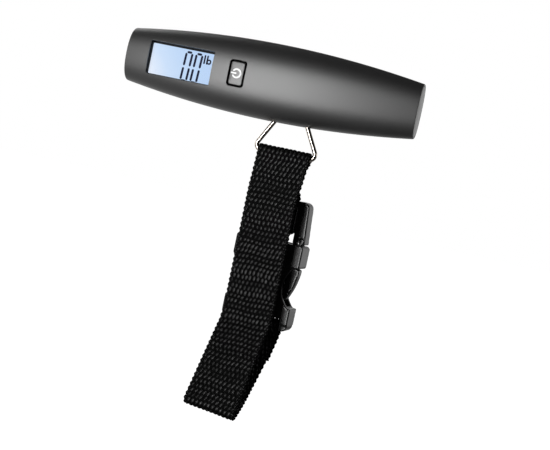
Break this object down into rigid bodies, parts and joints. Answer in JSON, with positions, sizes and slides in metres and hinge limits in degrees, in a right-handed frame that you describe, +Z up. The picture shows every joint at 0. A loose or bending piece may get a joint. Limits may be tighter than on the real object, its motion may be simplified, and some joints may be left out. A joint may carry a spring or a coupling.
{
  "type": "luggage scale",
  "caption": "Digital hanging luggage scale: barrel handle with a display and power button, wire ring below it and a webbing strap closed by a side-release buckle.",
  "frame": {"origin": "centre of the barrel handle, where the hand holds it", "axes": "+X along the handle away from the display, +Y to the rear, +Z up with the strap hanging towards -Z"},
  "size_m": [0.134, 0.0392, 0.1657],
  "materials": {
    "housing": "satin charcoal moulded plastic, fine grain",
    "cap": "smooth satin grey moulded plastic",
    "button": "satin charcoal with a white printed symbol",
    "window": "clear",
    "lcd": "pale blue glass with dark segments",
    "backlight": "frosted",
    "black_plastic": "matte black",
    "silicone": "striped silicone",
    "board": "green solder mask",
    "epoxy": "black potting",
    "steel": "zinc plated",
    "cell_can": "bright",
    "contact": "plated spring strip",
    "beam": "machined",
    "gauge": "white potting over foil",
    "cable": "grey jacket",
    "ring": "polished nickel plate",
    "webbing": "black woven polypropylene",
    "thread": "black sewing thread",
    "buckle": "black acetal, satin"
  },
  "bodies": {
    "handle": {"front_shell": "housing", "rear_shell": "housing", "end_cap_left": "cap", "end_cap_right": "cap", "display_window": "window", "lcd_panel": "lcd", "lcd_backlight": "backlight", "lcd_frame": "black_plastic", "lcd_strip": "silicone", "main_board": "board", "controller_chip": "epoxy", "tact_switch": "black_plastic", "coin_cell": "cell_can", "contact_negative": "contact", "contact_positive": "contact", "load_cell": "beam", "strain_gauges": "gauge", "load_cell_bolts": "steel", "stirrup": "steel", "stirrup_bolt": "steel", "stirrup_pin": "steel", "gauge_cable": "cable", "case_screws": "steel", "board_screws": "steel"},
    "button": {"power_button": "button"},
    "plunger": {"switch_plunger": "black_plastic"},
    "cover": {"battery_cover": "housing"},
    "ring": {"strap_ring": "ring"},
    "strap": {"strap_long": "webbing", "strap_short": "webbing", "seam_stitching": "thread", "socket_stitching": "thread", "buckle_socket": "buckle"},
    "plug": {"plug_frame": "buckle"},
    "arm_left": {"plug_arm_left": "buckle"},
    "arm_right": {"plug_arm_right": "buckle"}
  },
  "joints": [
    {"name": "button_press", "type": "slide", "parent": "handle", "child": "button", "axis": [0, 1, 0], "range_m": [0, 0.0005], "stiffness_N_per_m": 600},
    {"name": "plunger_press", "type": "slide", "parent": "handle", "child": "plunger", "axis": [0, 1, 0], "range_m": [0, 0.0005]},
    {"name": "cover_turn", "type": "hinge", "parent": "handle", "child": "cover", "pos_m": [-0.034, 0.009, 0], "axis": [0, 1, 0], "range_deg": [0, 45]},
    {"name": "ring_swing", "type": "hinge", "parent": "handle", "child": "ring", "pos_m": [0.0124, 0, -0.00942], "axis": [0, 1, 0], "range_deg": [-6, 6]},
    {"name": "strap_swing", "type": "hinge", "parent": "ring", "child": "strap", "pos_m": [0.0124, 0, -0.03043], "axis": [1, 0, 0], "range_deg": [-60, 60]},
    {"name": "plug_pull", "type": "slide", "parent": "strap", "child": "plug", "axis": [0, 0, 1], "range_m": [0, 0.018], "deforming": ["strap_short", "plug_arm_left", "plug_arm_right"]},
    {"name": "arm_left_squeeze", "type": "hinge", "parent": "plug", "child": "arm_left", "pos_m": [-0.00063, 0.01262, -0.06723], "axis": [-0.1564, -0.9877, 0], "range_deg": [0, 7], "stiffness_Nm_per_rad": 0.25},
    {"name": "arm_right_squeeze", "type": "hinge", "parent": "plug", "child": "arm_right", "pos_m": [0.02743, 0.00818, -0.06723], "axis": [0.1564, 0.9877, 0], "range_deg": [0, 7], "stiffness_Nm_per_rad": 0.25}
  ],
  "couplings": [
    {"joint": "plunger_press", "follows": "button_press", "ratio": 1}
  ]
}
